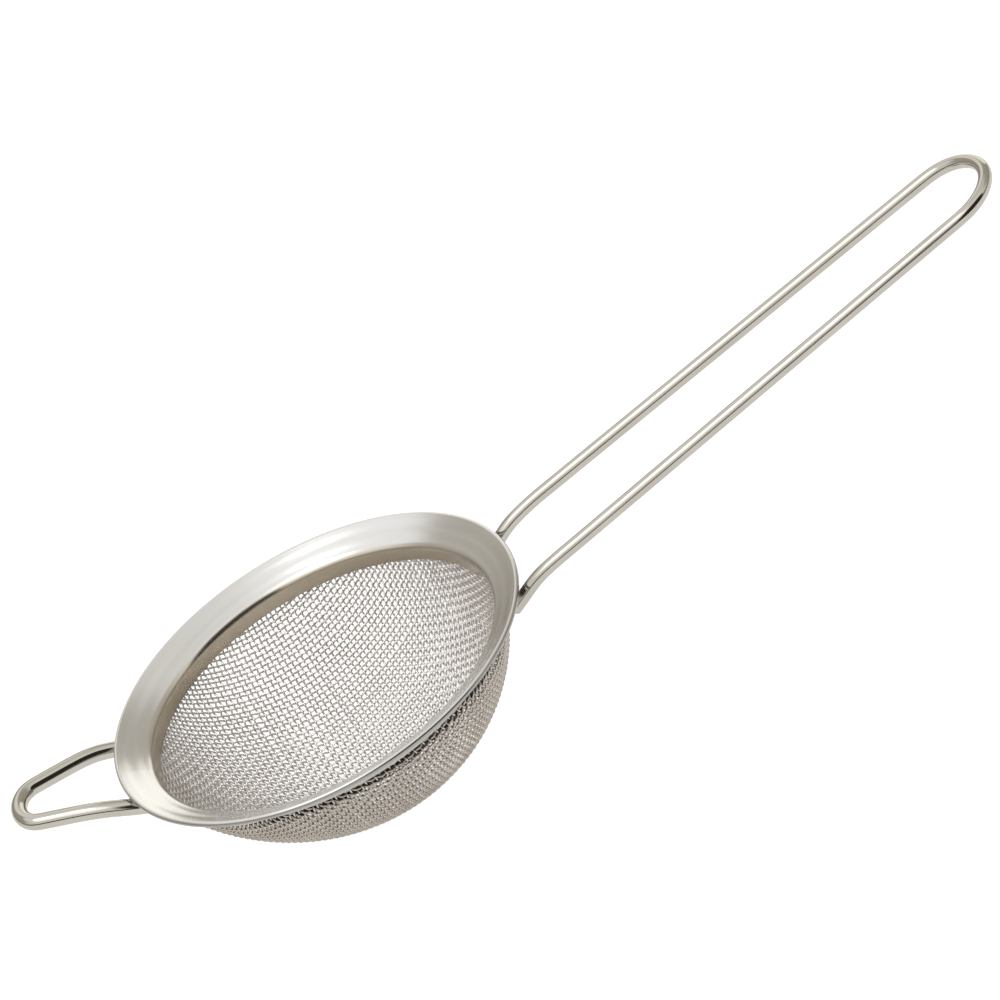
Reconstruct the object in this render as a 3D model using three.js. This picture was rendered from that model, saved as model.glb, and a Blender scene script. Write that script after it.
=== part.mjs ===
// Tea strainer: a stamped steel rim, a bowl of woven wire cloth, a hairpin handle and a rest ear.
//
// Units are millimetres. The origin is the centre of the rim, level with the top of its lip. +Z is up,
// the handle runs along +X and the rest ear lies near -X. All pieces are rigid and welded together, so
// neighbours keep a small clearance here where the real ones touch.

import * as THREE from "three";
import * as BufferGeometryUtils from "three/addons/utils/BufferGeometryUtils.js";

// Driving dimensions.
const RIM_RADIUS = 40;
const LIP_TUBE_RADIUS = 0.5;
const SHEET = 0.5;
const COLLAR_INNER_RADIUS = 33.64;
const COLLAR_BOTTOM = -6.4;
const BEND_RADIUS = 1.76;
const BEND_LEVEL = -4.06;

const CLOTH_OUTER_RADIUS = 35;
const CLOTH_THICKNESS = 0.56;
const CLOTH_TOP = -3.6;
const CLOTH_UPRIGHT_TO = -5.5;
const SHOULDER_RADIUS = 6;
const SHOULDER_TURN = THREE.MathUtils.degToRad(26);
const BOWL_APEX_SHIFT = 1.8;

const RING_INNER_RADIUS = 35.3;
const RING_THICKNESS = 0.5;
const RING_TOP = -3.05;
const RING_BOTTOM = -4;

const HANDLE_WIRE = 2.5;
const HANDLE_START = 35.6;
const HANDLE_LOOP_FROM = 135.6;
const HANDLE_TIP = 144;
// How high the handle's wire runs, and how far from the middle, at a few places along it.
const HANDLE_HEIGHTS = [[34, -5.97], [38, -3.66], [42, -1.45], [47, 0.03], [52, 1.09], [144, 20.04]];
const HANDLE_HALF_WIDTHS = [[34, 9.76], [42, 10.26], [50, 10.5], [135.6, 8.97]];

const EAR_WIRE = 3;
const EAR_START = 36.1;
const EAR_LOOP_FROM = 55.6;
const EAR_TIP = 58.55;
const EAR_ROUNDNESS = 1.3;
const EAR_TURN = THREE.MathUtils.degToRad(176.3);
const EAR_HEIGHTS = [[34, -5.6], [40, -2.7], [44, -1.13], [50, 0], [58.55, 1.22]];
const EAR_HALF_WIDTHS = [[34, 9.63], [40, 9.64], [46, 8.53], [55.6, 5.72]];

// Fineness of the mesh.
const ROUND_STEPS = 64;
const LIP_STEPS = 9;
const BEND_STEPS = 5;
const SHOULDER_STEPS = 3;
const CAP_STEPS = 11;
const WIRE_SIDES = 12;
const HANDLE_STEPS = 72;
const EAR_STEPS = 40;
const LOOP_SAMPLES = 24;

const polar = (centre, radius, angle) =>
  new THREE.Vector2(centre.x + radius * Math.cos(angle), centre.y + radius * Math.sin(angle));

// Points on a circular arc in the (radius, height) plane, both ends included.
function arc(centre, radius, from, to, steps) {
  return Array.from({ length: steps + 1 }, (_, i) =>
    polar(centre, radius, from + ((to - from) * i) / steps),
  );
}

// A solid of revolution whose closed profile runs anticlockwise in the (radius, height) plane.
function turned(profile) {
  const closed = [...profile, profile[0].clone()];
  return new THREE.LatheGeometry(closed, ROUND_STEPS);
}

// The rim's section: the cone is the line that touches both the lip's round and the bend's round.
function rimGeometry() {
  const lip = new THREE.Vector2(RIM_RADIUS - LIP_TUBE_RADIUS, -LIP_TUBE_RADIUS);
  const bend = new THREE.Vector2(COLLAR_INNER_RADIUS + BEND_RADIUS, BEND_LEVEL);
  const apart = lip.clone().sub(bend);
  const slope = apart.angle() - Math.asin((BEND_RADIUS - LIP_TUBE_RADIUS) / apart.length());
  const coneUp = Math.PI / 2 + slope;
  const innerRadius = BEND_RADIUS - SHEET;
  const underside = polar(bend, innerRadius, coneUp);
  const along = new THREE.Vector2(Math.cos(slope), Math.sin(slope));
  const reach = lip.clone().sub(underside).dot(along);
  const undersideEnd = underside.clone().addScaledVector(along, reach - LIP_TUBE_RADIUS * 0.6);
  return turned([
    new THREE.Vector2(COLLAR_INNER_RADIUS, COLLAR_BOTTOM),
    new THREE.Vector2(COLLAR_INNER_RADIUS + SHEET, COLLAR_BOTTOM),
    ...arc(bend, innerRadius, Math.PI, coneUp, BEND_STEPS),
    undersideEnd,
    ...arc(lip, LIP_TUBE_RADIUS, -Math.PI * 0.75, coneUp, LIP_STEPS),
    ...arc(bend, BEND_RADIUS, coneUp, Math.PI, BEND_STEPS),
  ]);
}

// One face of the bowl, from the top of its shoulder to its lowest point. The shoulder turns in from
// upright, and a cap of one sphere follows on smoothly. `inset` is how far the face lies inside the cloth.
function bowlFace(inset) {
  const shoulder = new THREE.Vector2(CLOTH_OUTER_RADIUS - SHOULDER_RADIUS, CLOTH_UPRIGHT_TO);
  const apart = shoulder.x / Math.cos(SHOULDER_TURN);
  const cap = new THREE.Vector2(0, shoulder.y + apart * Math.sin(SHOULDER_TURN));
  const capRadius = apart + SHOULDER_RADIUS - inset;
  const shoulderRadius = SHOULDER_RADIUS - inset;
  return [
    ...arc(shoulder, shoulderRadius, 0, -SHOULDER_TURN, SHOULDER_STEPS),
    ...arc(cap, capRadius, -SHOULDER_TURN, -Math.PI / 2, CAP_STEPS).slice(1, -1),
    new THREE.Vector2(0, cap.y - capRadius),
  ];
}

// The wire cloth as one thin shell. Its lowest point lies a little off centre, towards the handle.
function meshBowlGeometry() {
  const outer = bowlFace(0);
  const inner = bowlFace(CLOTH_THICKNESS);
  const depth = CLOTH_UPRIGHT_TO - outer[outer.length - 1].y;
  const profile = [
    ...outer.reverse(),
    new THREE.Vector2(CLOTH_OUTER_RADIUS, CLOTH_TOP),
    new THREE.Vector2(CLOTH_OUTER_RADIUS - CLOTH_THICKNESS, CLOTH_TOP),
    ...inner,
  ];
  const geometry = new THREE.LatheGeometry(profile, ROUND_STEPS);
  const position = geometry.getAttribute("position");
  for (let i = 0; i < position.count; i++) {
    const share = Math.max(CLOTH_UPRIGHT_TO - position.getY(i), 0) / depth;
    position.setX(i, position.getX(i) + BOWL_APEX_SHIFT * share);
  }
  return geometry;
}

function retainingRingGeometry() {
  const outer = RING_INNER_RADIUS + RING_THICKNESS;
  return turned([
    new THREE.Vector2(RING_INNER_RADIUS, RING_BOTTOM),
    new THREE.Vector2(outer, RING_BOTTOM),
    new THREE.Vector2(outer, RING_TOP),
    new THREE.Vector2(RING_INNER_RADIUS, RING_TOP),
  ]);
}

// Smooth height or width at x, through a short table of [x, value] pairs.
function smoothTable(table) {
  const slopes = table.map((row, i) => {
    const before = table[Math.max(i - 1, 0)];
    const after = table[Math.min(i + 1, table.length - 1)];
    return (after[1] - before[1]) / (after[0] - before[0]);
  });
  const last = table.length - 1;
  slopes[last] = (table[last][1] - table[last - 1][1]) / (table[last][0] - table[last - 1][0]);
  slopes[last - 1] = slopes[last];
  return (x) => {
    let i = 0;
    while (i < last - 1 && x > table[i + 1][0]) i++;
    const span = table[i + 1][0] - table[i][0];
    const t = (x - table[i][0]) / span;
    return (
      (2 * t ** 3 - 3 * t ** 2 + 1) * table[i][1] +
      (t ** 3 - 2 * t ** 2 + t) * span * slopes[i] +
      (3 * t ** 2 - 2 * t ** 3) * table[i + 1][1] +
      (t ** 3 - t ** 2) * span * slopes[i + 1]
    );
  };
}

// Centreline of a wire bent to a loop: out along one side, round the tip, and back along the other.
function loopPath({ start, loopFrom, tip, roundness, heights, halfWidths }) {
  const height = smoothTable(heights);
  const halfWidth = smoothTable(halfWidths);
  const endHalfWidth = halfWidth(loopFrom);
  const side = (sign) =>
    Array.from({ length: LOOP_SAMPLES }, (_, i) => {
      const x = start + ((loopFrom - start) * i) / LOOP_SAMPLES;
      return new THREE.Vector3(x, sign * halfWidth(x), height(x));
    });
  const round = Array.from({ length: LOOP_SAMPLES + 1 }, (_, i) => {
    const angle = (Math.PI * i) / LOOP_SAMPLES;
    const x = loopFrom + (tip - loopFrom) * Math.max(Math.sin(angle), 0) ** roundness;
    return new THREE.Vector3(x, endHalfWidth * Math.cos(angle), height(x));
  });
  return new THREE.CatmullRomCurve3([...side(1), ...round, ...side(-1).reverse()]);
}

// Round wire along a path, closed at both ends.
function wireGeometry(path, diameter, steps) {
  const section = new THREE.Shape(
    Array.from({ length: WIRE_SIDES }, (_, i) =>
      polar({ x: 0, y: 0 }, diameter / 2, (2 * Math.PI * i) / WIRE_SIDES),
    ),
  );
  return new THREE.ExtrudeGeometry(section, { steps, extrudePath: path });
}

function handleGeometry() {
  const path = loopPath({
    start: HANDLE_START,
    loopFrom: HANDLE_LOOP_FROM,
    tip: HANDLE_TIP,
    roundness: 1,
    heights: HANDLE_HEIGHTS,
    halfWidths: HANDLE_HALF_WIDTHS,
  });
  return wireGeometry(path, HANDLE_WIRE, HANDLE_STEPS);
}

function earGeometry() {
  const path = loopPath({
    start: EAR_START,
    loopFrom: EAR_LOOP_FROM,
    tip: EAR_TIP,
    roundness: EAR_ROUNDNESS,
    heights: EAR_HEIGHTS,
    halfWidths: EAR_HALF_WIDTHS,
  });
  return wireGeometry(path, EAR_WIRE, EAR_STEPS);
}

// Keeps positions only and joins shared vertices, so that each piece is one closed surface.
function closedSurface(geometry) {
  geometry.deleteAttribute("normal");
  geometry.deleteAttribute("uv");
  const merged = BufferGeometryUtils.mergeVertices(geometry, 1e-3);
  merged.computeVertexNormals();
  return merged;
}

function piece(name, geometry, color, roughness) {
  const material = new THREE.MeshStandardMaterial({ color, roughness, metalness: 1 });
  const mesh = new THREE.Mesh(closedSurface(geometry), material);
  mesh.name = name;
  return mesh;
}

// Lathes turn about +Y, so their group is tipped to stand them on +Z.
const turnedPieces = new THREE.Group();
turnedPieces.rotation.x = Math.PI / 2;
turnedPieces.add(
  piece("rim_flange", rimGeometry(), 0xc9c5bd, 0.35),
  piece("mesh_bowl", meshBowlGeometry(), 0xb9b4aa, 0.4),
  piece("mesh_retaining_ring", retainingRingGeometry(), 0xb5b0a6, 0.4),
);

const ear = piece("rest_ear_wire", earGeometry(), 0xcfcac0, 0.15);
ear.rotation.z = EAR_TURN;

const strainer = new THREE.Group();
strainer.add(turnedPieces, piece("handle_wire", handleGeometry(), 0xcfcac0, 0.15), ear);

export default strainer;
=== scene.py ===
"""Tea strainer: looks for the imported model. Everything is in metres, in the frame of the CAD.

The origin is the centre of the rim, level with the top of its lip. +Z is up and the handle runs along +X.
Lengths below are in millimetres and are turned into metres as each mesh is made.
"""

import math

import bpy
import numpy as np
from mathutils import Matrix, Vector


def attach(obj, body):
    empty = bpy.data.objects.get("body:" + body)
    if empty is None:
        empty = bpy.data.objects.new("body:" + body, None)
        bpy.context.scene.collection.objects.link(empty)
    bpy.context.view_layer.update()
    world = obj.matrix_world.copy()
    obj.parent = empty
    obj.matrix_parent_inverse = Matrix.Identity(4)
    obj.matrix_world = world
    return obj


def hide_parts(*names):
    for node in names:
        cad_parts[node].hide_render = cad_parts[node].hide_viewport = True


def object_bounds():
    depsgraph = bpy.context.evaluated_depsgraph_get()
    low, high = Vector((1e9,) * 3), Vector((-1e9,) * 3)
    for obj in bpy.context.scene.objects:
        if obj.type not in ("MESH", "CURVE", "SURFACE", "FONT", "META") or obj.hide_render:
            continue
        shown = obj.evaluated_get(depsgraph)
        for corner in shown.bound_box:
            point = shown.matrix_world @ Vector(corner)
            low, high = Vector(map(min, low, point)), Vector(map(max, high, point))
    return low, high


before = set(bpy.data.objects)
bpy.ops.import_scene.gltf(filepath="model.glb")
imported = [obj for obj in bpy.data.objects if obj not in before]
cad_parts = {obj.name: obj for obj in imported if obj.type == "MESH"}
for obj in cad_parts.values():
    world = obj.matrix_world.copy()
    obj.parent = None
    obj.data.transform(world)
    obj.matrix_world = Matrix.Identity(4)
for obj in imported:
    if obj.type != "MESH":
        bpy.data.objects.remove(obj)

MM = 0.001
CAD_BOX = [list(corner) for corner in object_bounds()]

# Rim.
RIM_RADIUS = 40.0
LIP_TUBE = 0.5
SHEET = 0.5
COLLAR_INNER = 33.64
COLLAR_BOTTOM = -6.4
BEND_RADIUS = 1.76
BEND_LEVEL = -4.06
LIP_CURL = math.radians(-140.4)  # Where the lip's round begins, under the cone.
RIM_STEPS = 384
CUT_EDGE_STEPS = 8
INNER_BEND_STEPS = 10
LIP_STEPS = 20
CONE_STEPS = 26
BEND_STEPS = 16
# The rings that polishing leaves on the cone: height, spacing, and the share of each end where they fade.
RIPPLE = 0.022
RIPPLE_LENGTH = 2.87
RIPPLE_FADE = 0.2

# Bowl of wire cloth: upright at its edge, then a shoulder, then a cap of one sphere.
CLOTH_RADIUS = 35.0
CLOTH_TOP = -3.6
UPRIGHT_TO = -5.5
SHOULDER_RADIUS = 6.0
SHOULDER_TURN = math.radians(26)
APEX_SHIFT = 1.8
WIRE = 0.40
WARP_PITCH = 1.033
WEFT_PITCH = 1.055
CLOTH_SIDES = 5
STEPS_PER_PITCH = 3
WIRES_EACH_WAY = 56  # From the middle to each side.
# How unevenly the wires lie, as shares of the pitch: each as a whole, and along itself between some places.
SPACING_SPREAD = 0.03
WANDER_SPREAD = 0.05
WANDER_PLACES = 12

# How the flat cloth goes into the bowl: the turn of each set of wires in radians, how much each set
# spreads towards the edge, and how much of its turn it loses there.
WARP_TURN = 0.177
WEFT_TURN = 0.125
WEFT_SPREAD = 0.163
WARP_SPREAD = 0.021
WEFT_TURN_LOSS = 0.442
WARP_TURN_LOSS = 0.361

# Band that holds the edge of the cloth.
BAND_INNER = 35.3
BAND_THICKNESS = 0.5
BAND_EDGE_ROUND = 0.12
BAND_EDGE_STEPS = 4
BAND_TOP = -3.05
BAND_BOTTOM = -4.0

# Handle and ear: height and half width of each wire's middle at a few places along it. Their cut ends
# stop about half a millimetre short of the band, and the welds aren't modelled.
HANDLE_WIRE = 2.5
HANDLE_START = 35.15
HANDLE_LOOP_FROM = 135.6
HANDLE_TIP = 144.0
HANDLE_HEIGHTS = [(34, -5.97), (38, -3.66), (42, -1.45), (47, 0.03), (52, 1.09), (144, 20.04)]
HANDLE_HALF_WIDTHS = [(34, 9.76), (42, 10.26), (50, 10.5), (135.6, 8.97)]
EAR_WIRE = 3.0
EAR_START = 35.5
EAR_LOOP_FROM = 55.6
EAR_TIP = 58.55
EAR_ROUNDNESS = 1.3
EAR_TURN = math.radians(176.3)
EAR_HEIGHTS = [(34, -5.6), (40, -2.7), (44, -1.13), (50, 0), (58.55, 1.22)]
EAR_HALF_WIDTHS = [(34, 9.63), (40, 9.64), (46, 8.53), (55.6, 5.72)]
SIDE_SAMPLES = 150
LOOP_SAMPLES = 96
WIRE_STEP = 0.4
EASING_PASSES = 12
WIRE_SIDES = 28
# The cut ends: how far the rounding reaches, as a share of the radius, where its rings lie along that
# reach, and how much of the section's area is gone at the very end.
END_REACH = 0.6
END_RINGS = (0.0, 0.04, 0.15, 0.35, 0.6, 1.0)
END_LOSS = 0.8

# Camera.
CAMERA_DISTANCE = 700.0
CAMERA_ELEVATION = math.radians(30.42)
CAMERA_AZIMUTH = math.radians(0.8)
CAMERA_ROLL = math.radians(-30.16)
CAMERA_ASIDE = 32.96
CAMERA_ABOVE = 28.58
CAMERA_LENS = 143.03


# ---- Meshes ----------------------------------------------------------------------------------------


def placed(name, data):
    """A new object in the scene."""
    made = bpy.data.objects.new(name, data)
    bpy.context.scene.collection.objects.link(made)
    return made


def mesh_object(name, points, faces):
    """A smooth-shaded mesh object from points in millimetres."""
    mesh = bpy.data.meshes.new(name)
    mesh.from_pydata((np.asarray(points) * MM).tolist(), [], faces)
    mesh.polygons.foreach_set("use_smooth", np.ones(len(mesh.polygons), dtype=bool))
    mesh.update()
    return placed(name, mesh)


def grid_faces(rows, columns, first=0, close_rows=False):
    """Quads between rows of points whose columns close on themselves."""
    faces = []
    for i in range(rows if close_rows else rows - 1):
        here = first + i * columns
        there = first + (i + 1) % rows * columns
        for j in range(columns):
            k = (j + 1) % columns
            faces.append((here + j, there + j, there + k, here + k))
    return faces


def tube_faces(rings, sides, first=0):
    """Quads along a tube, and one flat face at each end."""
    last = first + (rings - 1) * sides
    start = tuple(range(first, first + sides))
    end = tuple(reversed(range(last, last + sides)))
    return [*grid_faces(rings, sides, first), start, end]


def polar(centre, radius, angle):
    """The point at an angle on a circle in the (radius, height) plane."""
    return (centre[0] + radius * math.cos(angle), centre[1] + radius * math.sin(angle))


def arc(centre, radius, start, end, steps):
    """Points on a circular arc in the (radius, height) plane, both ends included."""
    return [polar(centre, radius, angle) for angle in np.linspace(start, end, steps + 1)]


def turned(name, profile, steps=RIM_STEPS):
    """A solid of revolution from a closed profile that runs anticlockwise in the (radius, height) plane."""
    profile = np.array(profile)
    angles = np.linspace(0, 2 * math.pi, steps, endpoint=False)
    rings = [
        np.column_stack((profile[:, 0] * math.cos(a), profile[:, 0] * math.sin(a), profile[:, 1]))
        for a in angles
    ]
    return mesh_object(name, np.vstack(rings), grid_faces(steps, len(profile), close_rows=True))


def cone_face(top, foot):
    """The cone's upper face from the lip to the bend, with the faint rings that polishing leaves."""
    length = np.hypot(*(foot - top))
    upward = np.array((-(top - foot)[1], (top - foot)[0])) / length
    points = []
    for t in np.linspace(0, 1, CONE_STEPS + 1)[1:-1]:
        fade = min(t, 1 - t, RIPPLE_FADE) / RIPPLE_FADE
        wave = RIPPLE * fade * math.sin(2 * math.pi * t * length / RIPPLE_LENGTH)
        points.append(tuple(top + (foot - top) * t + upward * wave))
    return points


def rim():
    """The pressed rim: rolled lip, cone, soft bend and collar, with its cut edge rounded."""
    lip = np.array((RIM_RADIUS - LIP_TUBE, -LIP_TUBE))
    bend = np.array((COLLAR_INNER + BEND_RADIUS, BEND_LEVEL))
    apart = lip - bend
    slope = math.atan2(apart[1], apart[0]) - math.asin((BEND_RADIUS - LIP_TUBE) / np.hypot(*apart))
    up = math.pi / 2 + slope
    inner = BEND_RADIUS - SHEET
    along = np.array((math.cos(slope), math.sin(slope)))
    underside = np.array(polar(bend, inner, up))
    reach = (lip - underside) @ along
    edge = SHEET / 2
    edge_middle = (COLLAR_INNER + edge, COLLAR_BOTTOM + edge)
    cone_top = np.array(polar(lip, LIP_TUBE, up))
    cone_foot = np.array(polar(bend, BEND_RADIUS, up))
    profile = [
        *arc(edge_middle, edge, math.pi, 2 * math.pi, CUT_EDGE_STEPS),
        *arc(bend, inner, math.pi, up, INNER_BEND_STEPS),
        *[tuple(underside + along * (reach - LIP_TUBE * 0.7) * t) for t in (0.5, 1.0)],
        *arc(lip, LIP_TUBE, LIP_CURL, up, LIP_STEPS),
        *cone_face(cone_top, cone_foot),
        *arc(bend, BEND_RADIUS, up, math.pi, BEND_STEPS),
        *[(COLLAR_INNER, BEND_LEVEL + (COLLAR_BOTTOM + edge - BEND_LEVEL) * t) for t in (0.03, 0.5)],
    ]
    return turned("rim_flange_pressed", profile)


def cloth_band():
    """The thin band that is pinched round the edge of the cloth."""
    edge = BAND_EDGE_ROUND
    outer = BAND_INNER + BAND_THICKNESS
    corners = [
        ((BAND_INNER + edge, BAND_BOTTOM + edge), math.pi),
        ((outer - edge, BAND_BOTTOM + edge), 1.5 * math.pi),
        ((outer - edge, BAND_TOP - edge), 0),
        ((BAND_INNER + edge, BAND_TOP - edge), 0.5 * math.pi),
    ]
    profile = []
    for centre, start in corners:
        profile += arc(centre, edge, start, start + math.pi / 2, BAND_EDGE_STEPS)
    return turned("cloth_band", profile)


# ---- Woven cloth -----------------------------------------------------------------------------------

# The middle of the weave lies one wire inside the bowl's outer face.
CAP_APART = (CLOTH_RADIUS - SHOULDER_RADIUS) / math.cos(SHOULDER_TURN)
CAP_LEVEL = UPRIGHT_TO + CAP_APART * math.sin(SHOULDER_TURN)
CAP_RADIUS = CAP_APART + SHOULDER_RADIUS - WIRE
CAP_LENGTH = CAP_RADIUS * (math.pi / 2 - SHOULDER_TURN)
SHOULDER_BEND = SHOULDER_RADIUS - WIRE
SHOULDER_LENGTH = SHOULDER_BEND * SHOULDER_TURN
BOWL_DEPTH = UPRIGHT_TO - (CAP_LEVEL - CAP_RADIUS)


def on_bowl(x, y):
    """Points of the bowl's middle face and its outward normals, from flat places measured along the bowl."""
    length = np.maximum(np.hypot(x, y), 1e-9)
    turn = np.minimum(length, CAP_LENGTH) / CAP_RADIUS
    radius = CAP_RADIUS * np.sin(turn)
    height = CAP_LEVEL - CAP_RADIUS * np.cos(turn)
    past_cap = np.clip(length - CAP_LENGTH, 0, SHOULDER_LENGTH) / SHOULDER_BEND
    bent = turn + past_cap
    shoulder_at = (CLOTH_RADIUS - SHOULDER_RADIUS, UPRIGHT_TO)
    in_shoulder = length > CAP_LENGTH
    radius = np.where(in_shoulder, shoulder_at[0] + SHOULDER_BEND * np.sin(bent), radius)
    height = np.where(in_shoulder, shoulder_at[1] - SHOULDER_BEND * np.cos(bent), height)
    height = height + np.maximum(length - CAP_LENGTH - SHOULDER_LENGTH, 0)
    cosine, sine = x / length, y / length
    shift = APEX_SHIFT * np.clip(UPRIGHT_TO - height, 0, None) / BOWL_DEPTH
    points = np.stack((radius * cosine + shift, radius * sine, height), -1)
    normals = np.stack((np.sin(bent) * cosine, np.sin(bent) * sine, -np.cos(bent)), -1)
    return points, normals


def drawn(u, v):
    """Where a point of the flat cloth goes as it is drawn into a bowl.

    u and v count wires from the middle.
    """
    s, t = u * WEFT_PITCH / CAP_RADIUS, v * WARP_PITCH / CAP_RADIUS
    x = s * (1 + WEFT_SPREAD * t**2)
    y = t * (1 + WARP_SPREAD * s**2)
    turned_x = x * math.cos(WARP_TURN) - y * math.sin(WEFT_TURN) * (1 - WEFT_TURN_LOSS * t**2)
    turned_y = x * math.sin(WARP_TURN) * (1 - WARP_TURN_LOSS * s**2) + y * math.cos(WEFT_TURN)
    return turned_x * CAP_RADIUS, turned_y * CAP_RADIUS


def strand(points, normals, radius, sides):
    """Ring points of one tube along a path; the first point of each ring lies along the normal."""
    along = np.gradient(points, axis=0)
    along /= np.linalg.norm(along, axis=1)[:, None]
    across = np.cross(along, normals)
    across /= np.linalg.norm(across, axis=1)[:, None]
    up = np.cross(across, along)
    angles = -np.arange(sides) * 2 * math.pi / sides
    ring = np.cos(angles)[None, :, None] * up[:, None] + np.sin(angles)[None, :, None] * across[:, None]
    return (points[:, None] + ring * np.reshape(radius, (-1, 1, 1))).reshape(-1, 3)


def woven(name, is_warp):
    """All the wires of one direction, each going over and under those of the other direction."""
    random = np.random.default_rng(11 if is_warp else 12)
    edge_length = CAP_LENGTH + SHOULDER_LENGTH + CLOTH_TOP - UPRIGHT_TO
    most = WIRES_EACH_WAY
    steps = np.arange(-most * STEPS_PER_PITCH, most * STEPS_PER_PITCH + 1) / STEPS_PER_PITCH
    places = np.linspace(-most, most, WANDER_PLACES)
    points, faces, first = [], [], 0
    for wire in range(-most, most + 1):
        lane = wire + random.normal(0, SPACING_SPREAD)
        lane = lane + WANDER_SPREAD * np.interp(steps, places, random.normal(0, 1, WANDER_PLACES))
        u, v = (steps, lane) if is_warp else (lane, steps)
        x, y = drawn(u, v)
        kept = np.hypot(x, y) < edge_length
        if kept.sum() < 4:
            continue
        place, normal = on_bowl(x[kept], y[kept])
        over = np.cos(math.pi * steps[kept]) * (1 if wire % 2 else -1) * (1 if is_warp else -1)
        place = place + normal * (over * WIRE / 2)[:, None]
        points.append(strand(place, normal, WIRE / 2, CLOTH_SIDES))
        faces += tube_faces(len(place), CLOTH_SIDES, first)
        first += len(place) * CLOTH_SIDES
    return mesh_object(name, np.vstack(points), faces)


# ---- Bent wires ------------------------------------------------------------------------------------


def smooth_table(table):
    """A smooth function of x through a short table of (x, value) pairs."""
    xs, values = np.array(table, dtype=float).T
    slopes = np.empty(len(xs))
    slopes[1:-1] = (values[2:] - values[:-2]) / (xs[2:] - xs[:-2])
    slopes[0] = (values[1] - values[0]) / (xs[1] - xs[0])
    slopes[-2:] = (values[-1] - values[-2]) / (xs[-1] - xs[-2])

    def value(x):
        i = np.clip(np.searchsorted(xs, x) - 1, 0, len(xs) - 2)
        span = xs[i + 1] - xs[i]
        t = (x - xs[i]) / span
        return (
            (2 * t**3 - 3 * t**2 + 1) * values[i]
            + (t**3 - 2 * t**2 + t) * span * slopes[i]
            + (3 * t**2 - 2 * t**3) * values[i + 1]
            + (t**3 - t**2) * span * slopes[i + 1]
        )

    return value


def loop_path(start, loop_from, tip, roundness, heights, half_widths):
    """Middle line of a wire bent to a loop: out along one side, round the tip and back along the other."""
    height = smooth_table(heights)
    half_width = smooth_table(half_widths)
    x = np.linspace(start, loop_from, SIDE_SAMPLES, endpoint=False)
    side = np.column_stack((x, half_width(x), height(x)))
    angle = np.linspace(0, math.pi, LOOP_SAMPLES + 1)
    x = loop_from + (tip - loop_from) * np.clip(np.sin(angle), 0, 1) ** roundness
    end = np.column_stack((x, half_width(loop_from) * np.cos(angle), height(x)))
    return np.vstack((side, end, side[::-1] * (1, -1, 1)))


def length_along(path):
    """Distance from the start of a path to each of its points."""
    return np.concatenate(((0,), np.cumsum(np.linalg.norm(np.diff(path, axis=0), axis=1))))


def eased(path):
    """The path in even steps, with its corners eased; both ends stay where they are."""
    run = length_along(path)
    even = np.linspace(0, run[-1], int(run[-1] / WIRE_STEP) + 1)
    points = np.column_stack([np.interp(even, run, path[:, k]) for k in range(3)])
    for _ in range(EASING_PASSES):
        points[1:-1] = (points[:-2] + 2 * points[1:-1] + points[2:]) / 4
    return points


def bent_wire(name, path, diameter):
    """Round wire along a path, with both cut ends rounded off."""
    path = eased(path)
    run = length_along(path)
    radius = diameter / 2
    rounding = radius * END_REACH
    near_end = np.array(END_RINGS) * rounding
    inside = run[(run > rounding * 1.5) & (run < run[-1] - rounding * 1.5)]
    run_new = np.concatenate((near_end, inside, run[-1] - near_end[::-1]))
    points = np.column_stack([np.interp(run_new, run, path[:, k]) for k in range(3)])
    from_end = np.clip(np.minimum(run_new, run[-1] - run_new) / rounding, 0, 1)
    radii = radius * np.sqrt(1 - END_LOSS * (1 - from_end) ** 2)
    normals = np.tile((0.0, 0.0, 1.0), (len(points), 1))
    rings = strand(points, normals, radii, WIRE_SIDES)
    return mesh_object(name, rings, tube_faces(len(points), WIRE_SIDES))


def handle():
    """The long hairpin handle."""
    path = loop_path(
        HANDLE_START, HANDLE_LOOP_FROM, HANDLE_TIP, 1, HANDLE_HEIGHTS, HANDLE_HALF_WIDTHS
    )
    return bent_wire("handle_bent_wire", path, HANDLE_WIRE)


def ear():
    """The short loop that rests on the far edge of a cup."""
    path = loop_path(EAR_START, EAR_LOOP_FROM, EAR_TIP, EAR_ROUNDNESS, EAR_HEIGHTS, EAR_HALF_WIDTHS)
    turn = np.array(Matrix.Rotation(EAR_TURN, 3, "Z"))
    return bent_wire("ear_bent_wire", path @ turn.T, EAR_WIRE)


# ---- Materials -------------------------------------------------------------------------------------


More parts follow.
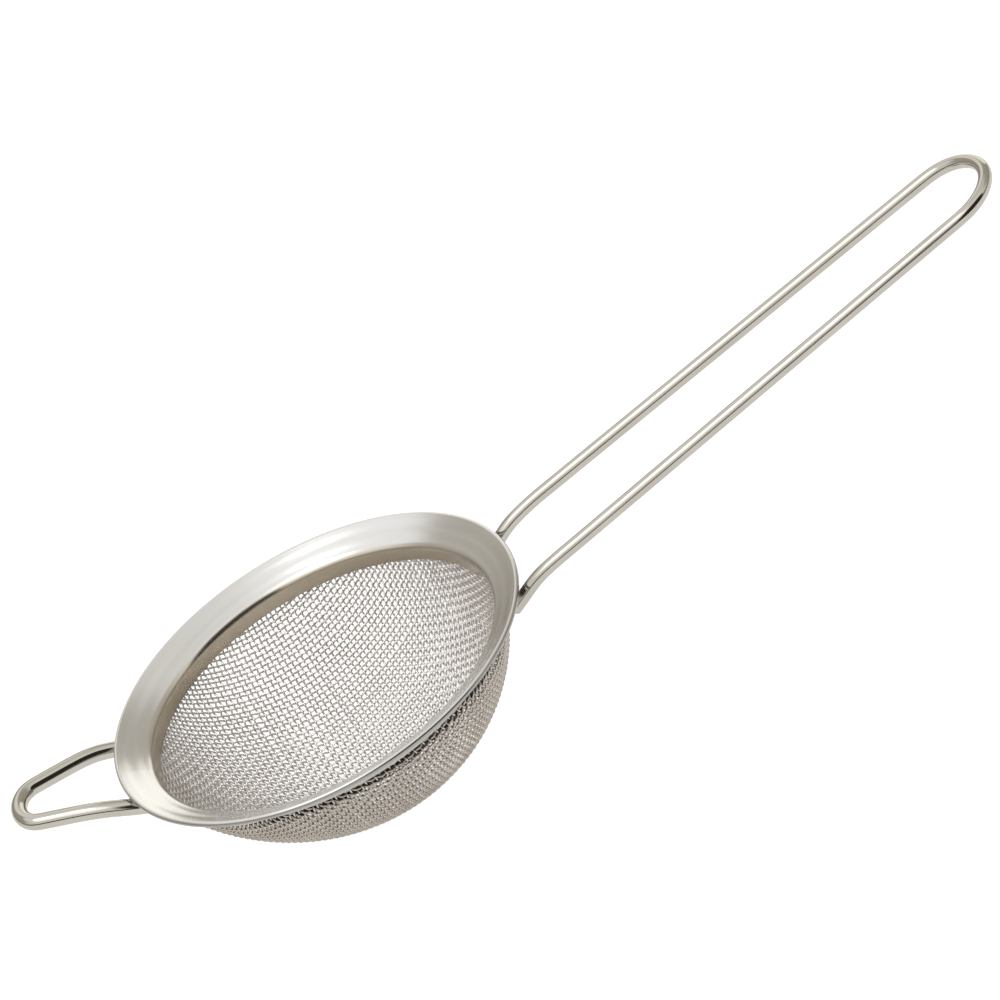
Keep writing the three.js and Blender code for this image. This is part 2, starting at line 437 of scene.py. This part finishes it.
class Nodes:
    """A short way to write a node tree."""

    def __init__(self, tree):
        self.tree = tree

    def add(self, kind, values=None, **settings):
        """A new node. Each value is that of an input, or the output that feeds it."""
        node = self.tree.nodes.new("ShaderNode" + kind)
        for key, value in settings.items():
            setattr(node, key, value)
        for socket, value in (values or {}).items():
            if isinstance(value, bpy.types.NodeSocket):
                self.tree.links.new(value, node.inputs[socket])
            else:
                node.inputs[socket].default_value = value
        return node

    def math(self, operation, *values):
        return self.add("Math", dict(enumerate(values)), operation=operation).outputs[0]

    def vector(self, operation, *values):
        return self.add("VectorMath", dict(enumerate(values)), operation=operation)

    def noise(self, vector, scale, detail=3.0):
        values = {"Vector": vector, "Scale": scale, "Detail": detail}
        return self.add("TexNoise", values).outputs["Fac"]

    def ranged(self, value, low, high):
        """A noise value, which lies mostly from 0.3 to 0.7, moved to the range from low to high."""
        values = {"Value": value, "From Min": 0.3, "From Max": 0.7, "To Min": low, "To Max": high}
        return self.add("MapRange", values).outputs[0]

    def blend(self, factor, first, second, how="MIX"):
        """One colour turning to another; each is a colour or the output of a node."""
        node = self.add("Mix", {"Factor": factor}, data_type="RGBA", blend_type=how)
        for socket, colour in ((node.inputs[6], first), (node.inputs[7], second)):
            if isinstance(colour, bpy.types.NodeSocket):
                self.tree.links.new(colour, socket)
            else:
                socket.default_value = (*colour, 1)
        return node.outputs[2]

    def ramped(self, value, start, end, stops):
        """Colours along a value that runs from start to end."""
        share = self.add("MapRange", {"Value": value, "From Min": start, "From Max": end}).outputs[0]
        node = self.add("ValToRGB", {"Fac": share})
        elements = node.color_ramp.elements
        for i, (place, colour) in enumerate(stops):
            position = (place - start) / (end - start)
            element = elements[i] if i < 2 else elements.new(position)
            element.position = position
            element.color = (*colour, 1)
        return node.outputs["Color"]


class Steel(Nodes):
    """The node tree of a bare steel material."""

    def __init__(self, name):
        self.material = bpy.data.materials.new(name)
        self.material.use_nodes = True
        super().__init__(self.material.node_tree)
        self.inputs = self.tree.nodes["Principled BSDF"].inputs
        self.inputs["Metallic"].default_value = 1.0

    def surface(self, colour, roughness, height, strength, distance):
        """Colour, roughness and fine unevenness, each from the output of a node."""
        self.tree.links.new(colour, self.inputs["Base Color"])
        self.tree.links.new(roughness, self.inputs["Roughness"])
        bump = self.add("Bump", {"Height": height, "Strength": strength, "Distance": distance})
        self.tree.links.new(bump.outputs["Normal"], self.inputs["Normal"])

    def edge_tint(self, colour):
        """The tint of reflections where the surface is seen nearly edge on."""
        self.inputs["Specular Tint"].default_value = (*colour, 1)

    def polished_round(self, anisotropy):
        """Reflections drawn out as on steel polished round the +Z axis."""
        self.inputs["Anisotropic"].default_value = anisotropy
        self.inputs["Anisotropic Rotation"].default_value = 0.25
        tangent = self.add("Tangent", direction_type="RADIAL", axis="Z")
        self.tree.links.new(tangent.outputs[0], self.inputs["Tangent"])


def round_axis(nodes):
    """Turn about +Z, distance from that axis, and height, in radians and metres."""
    place = nodes.add("TexCoord").outputs["Object"]
    x, y, z = nodes.add("SeparateXYZ", {0: place}).outputs
    squares = nodes.math("ADD", nodes.math("MULTIPLY", x, x), nodes.math("MULTIPLY", y, y))
    return nodes.math("ARCTAN2", y, x), nodes.math("SQRT", squares), z


def turned_coordinates(nodes, round_scale):
    """Coordinates whose x is the turn about +Z, stretched, so that noise makes streaks round the rim."""
    turn, radius, height = round_axis(nodes)
    angle = nodes.math("MULTIPLY", turn, round_scale)
    return nodes.add("CombineXYZ", {0: angle, 1: radius, 2: height}).outputs[0]


# Colour of the rim's steel by radius in metres: brown on the collar, untinted on the cone, and a grey
# painted shade along the lip's outer edge.
# The collar's outer face, behind the cloth, gets a painted shade, nearly black.
RIM_TINT_AND_PAINTED_SHADE = [
    (0.0336, (0.82, 0.74, 0.61)),
    (0.03375, (0.82, 0.75, 0.63)),
    (0.0340, (0.95, 0.92, 0.85)),
    (0.0346, (1.0, 1.0, 1.0)),
    (0.03975, (1.0, 1.0, 1.0)),
    (0.03992, (0.5, 0.5, 0.5)),
]
PAINTED_COLLAR_SHADE = (0.05, 0.045, 0.04)
COLLAR_MIDDLE_RADIUS = 0.034


def rim_steel():
    """Pressed sheet polished round the rim: fine circular streaks, soft cloudy bands, and painted shade at
    the lip's edge and on the collar's outer face.
    """
    nodes = Steel("brushed_rim_steel")
    streaks = nodes.noise(turned_coordinates(nodes, 0.0006), 6000.0, 4.0)
    cloud = nodes.noise(turned_coordinates(nodes, 0.004), 300.0, 2.0)
    polished = nodes.blend(nodes.ranged(cloud, 0.0, 1.0), (0.60, 0.585, 0.55), (0.66, 0.65, 0.63))
    _, radius, height = round_axis(nodes)
    # Brown on the collar, and a grey painted shade along the lip's outer edge.
    shade = nodes.ramped(radius, 0.0336, 0.0401, RIM_TINT_AND_PAINTED_SHADE)
    # Painted shade: the collar's outer face below the bend, in the shade between collar and cloth, turns
    # nearly black.
    outside = nodes.math("GREATER_THAN", radius, COLLAR_MIDDLE_RADIUS)
    low = nodes.math("LESS_THAN", height, BEND_LEVEL * MM)
    tint_and_edge_shade = nodes.blend(1.0, polished, shade, "MULTIPLY")
    colour = nodes.blend(nodes.math("MULTIPLY", outside, low), tint_and_edge_shade, PAINTED_COLLAR_SHADE)
    roughness = nodes.ranged(streaks, 0.18, 0.27)
    nodes.surface(colour, roughness, streaks, 0.08, 0.00002)
    nodes.polished_round(0.6)
    return nodes.material


def band_steel():
    """Plain strip, dull, with marks along it."""
    nodes = Steel("plain_steel")
    streaks = nodes.noise(turned_coordinates(nodes, 0.001), 5000.0)
    colour = nodes.blend(nodes.ranged(streaks, 0.0, 1.0), (0.40, 0.38, 0.35), (0.48, 0.46, 0.42))
    nodes.surface(colour, nodes.ranged(streaks, 0.3, 0.42), streaks, 0.2, 0.00002)
    return nodes.material


def cloth_steel():
    """Drawn fine wire, with painted light: brighter where it faces into the bowl, and a darker, browner
    painted shade where it faces out.
    """
    nodes = Steel("woven_wire")
    place = nodes.add("TexCoord").outputs["Object"]
    patches = nodes.noise(place, 140.0, 3.0)
    fine = nodes.noise(place, 4000.0, 2.0)
    # Lit and shaded copies of one steel: the first for faces turned into the bowl, the second a painted
    # shade for faces turned out.
    bright = nodes.blend(nodes.ranged(patches, 0.0, 1.0), (0.70, 0.67, 0.65), (0.80, 0.78, 0.76))
    painted_shade_outside = nodes.blend(nodes.ranged(patches, 0.0, 1.0), (0.47, 0.425, 0.37), (0.56, 0.515, 0.46))
    from_middle = nodes.vector("SUBTRACT", place, (0, 0, CAP_LEVEL * MM)).outputs[0]
    outward = nodes.vector("NORMALIZE", from_middle).outputs[0]
    normal = nodes.add("TexCoord").outputs["Normal"]
    cosine = nodes.vector("DOT_PRODUCT", normal, outward).outputs["Value"]
    outside = nodes.add("MapRange", {"Value": cosine, "From Min": 0.0, "From Max": 0.5}).outputs[0]
    nodes.surface(
        nodes.blend(outside, bright, painted_shade_outside), nodes.ranged(fine, 0.10, 0.18), fine, 0.1, 0.00001
    )
    nodes.edge_tint((0.35, 0.33, 0.30))
    return nodes.material


def wire_steel():
    """Bright drawn wire with hairline drawing marks and faint soft dents in its sheen."""
    nodes = Steel("bright_wire")
    place = nodes.add("TexCoord").outputs["Object"]
    fine = nodes.noise(place, 2500.0, 3.0)
    slow = nodes.noise(place, 90.0, 2.0)
    colour = nodes.blend(nodes.ranged(slow, 0.0, 1.0), (0.44, 0.42, 0.375), (0.50, 0.48, 0.435))
    nodes.surface(colour, nodes.ranged(fine, 0.08, 0.14), slow, 0.1, 0.0002)
    nodes.edge_tint((0.9, 0.87, 0.8))
    return nodes.material


# ---- Stage -----------------------------------------------------------------------------------------

FLOOR_REACH = 3.0
FLOOR_GAP = 0.0004
FLOOR_GLOW = 0.9
FLOOR_GREY = 0.25

# The walls, by how steeply a direction rises: 0 is level and 1 is straight up. Front is -Y, where the
# camera stands.
BACK_WALL = [
    (0.0, (1.0, 1.0, 1.0)),
    (0.03, (0.45, 0.42, 0.38)),
    (0.12, (0.45, 0.42, 0.38)),
    (0.4, (0.60, 0.57, 0.52)),
    (0.68, (0.60, 0.57, 0.52)),
    (0.8, (0.95, 0.94, 0.92)),
]
FRONT_WALL = [
    (0.0, (0.05, 0.04, 0.03)),
    (0.15, (0.05, 0.04, 0.03)),
    (0.26, (1.05, 1.03, 0.98)),
    (1.0, (1.25, 1.24, 1.22)),
]
# Where the front wall takes over from the back one: its direction, and degrees off it as for a panel.
FRONT = ((0, -1, 0), 105, 70)
# Round panels on the walls: direction, degrees off it where the panel begins and is full, and colour.
PANELS = [
    ((0.5, -0.78, 0.35), 38, 28, (0.04, 0.035, 0.03)),
    ((0.33, 0.93, 0.1), 22, 18, (1.5, 1.48, 1.42)),
    ((-0.1, 0.78, 0.62), 20, 12, (1.25, 1.23, 1.18)),
    ((-0.38, 0.05, 0.92), 32, 21, (1.22, 1.22, 1.24)),
    ((-0.28, -0.40, 0.87), 24, 16, (2.0, 2.0, 2.0)),
]

LAMP_DIRECTION = (-0.3, -0.15, 0.93)
LAMP_STRENGTH = 0.2
LAMP_SPREAD = math.radians(24)


def floor():
    """A white light table just under the bowl: it glows a little, so that hardly any shadow shows."""
    level = CAD_BOX[0][2] - FLOOR_GAP
    corners = [(-1, -1), (1, -1), (1, 1), (-1, 1)]
    mesh = bpy.data.meshes.new("floor")
    mesh.from_pydata([(x * FLOOR_REACH, y * FLOOR_REACH, level) for x, y in corners], [], [(0, 1, 2, 3)])
    material = bpy.data.materials.new("light_table")
    material.use_nodes = True
    shader = material.node_tree.nodes["Principled BSDF"]
    shader.inputs["Base Color"].default_value = (FLOOR_GREY, FLOOR_GREY, FLOOR_GREY, 1)
    shader.inputs["Roughness"].default_value = 0.9
    shader.inputs["Specular IOR Level"].default_value = 0.1
    shader.inputs["Emission Color"].default_value = (1.0, 1.0, 1.0, 1)
    shader.inputs["Emission Strength"].default_value = FLOOR_GLOW
    mesh.materials.append(material)
    placed("floor", mesh)


def facing(nodes, direction, axis, outer, inner):
    """From 0 to 1 as a direction comes from `outer` to `inner` degrees off an axis."""
    values = {
        "Value": nodes.vector("DOT_PRODUCT", direction, Vector(axis).normalized()).outputs["Value"],
        "From Min": math.cos(math.radians(outer)),
        "From Max": math.cos(math.radians(inner)),
    }
    return nodes.add("MapRange", values, interpolation_type="SMOOTHSTEP").outputs[0]


def studio():
    """The surroundings that the steel reflects: dim walls, dark low down at the front, and bright panels."""
    world = bpy.data.worlds.new("studio")
    bpy.context.scene.world = world
    world.use_nodes = True
    nodes = Nodes(world.node_tree)
    direction = nodes.add("TexCoord").outputs["Generated"]
    rise = nodes.add("SeparateXYZ", {0: direction}).outputs["Z"]
    behind = nodes.ramped(rise, 0.0, 1.0, BACK_WALL)
    front = nodes.ramped(rise, 0.0, 1.0, FRONT_WALL)
    colour = nodes.blend(facing(nodes, direction, *FRONT), behind, front)
    for axis, outer, inner, light in PANELS:
        colour = nodes.blend(facing(nodes, direction, axis, outer, inner), colour, light)
    nodes.tree.links.new(colour, nodes.tree.nodes["Background"].inputs["Color"])


def lamp():
    """A weak soft lamp, far overhead."""
    light = bpy.data.lights.new("overhead", "SUN")
    light.energy = LAMP_STRENGTH
    light.angle = LAMP_SPREAD
    made = placed("overhead", light)
    made.rotation_mode = "QUATERNION"
    made.rotation_quaternion = Vector(LAMP_DIRECTION).to_track_quat("Z", "Y")


def camera():
    """The camera, placed by how far it stands from the rim and at what angles."""
    data = bpy.data.cameras.new("camera")
    data.sensor_width = 36.0
    data.lens = CAMERA_LENS
    data.clip_start = 0.01
    data.clip_end = 20.0
    back = Vector(
        (
            math.sin(CAMERA_AZIMUTH) * math.cos(CAMERA_ELEVATION),
            -math.cos(CAMERA_AZIMUTH) * math.cos(CAMERA_ELEVATION),
            math.sin(CAMERA_ELEVATION),
        )
    )
    level = Vector((math.cos(CAMERA_AZIMUTH), math.sin(CAMERA_AZIMUTH), 0))
    upright = back.cross(level)
    right = level * math.cos(CAMERA_ROLL) + upright * math.sin(CAMERA_ROLL)
    up = upright * math.cos(CAMERA_ROLL) - level * math.sin(CAMERA_ROLL)
    place = (right * CAMERA_ASIDE + up * CAMERA_ABOVE + back * CAMERA_DISTANCE) * MM
    made = placed("camera", data)
    made.matrix_world = Matrix.Translation(place) @ Matrix((right, up, back)).transposed().to_4x4()
    bpy.context.scene.camera = made


# ---- The object ------------------------------------------------------------------------------------


def show(piece, material, slot, *nodes):
    """Puts a piece on the body, in place of its CAD nodes, with its material. The slot is not used."""
    piece.data.materials.append(material)
    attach(piece, "root")
    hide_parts(*nodes)


bright = wire_steel()
cloth = cloth_steel()
show(rim(), rim_steel(), "brushed_rim_steel", "rim_flange")
show(cloth_band(), band_steel(), "plain_steel", "mesh_retaining_ring")
show(woven("woven_cloth_warp", True), cloth, "woven_wire", "mesh_bowl")
show(woven("woven_cloth_weft", False), cloth, "woven_wire", "mesh_bowl")
show(handle(), bright, "bright_wire", "handle_wire")
show(ear(), bright, "bright_wire", "rest_ear_wire")

floor()
studio()
lamp()
camera()
bpy.context.scene.view_settings.view_transform = "Standard"
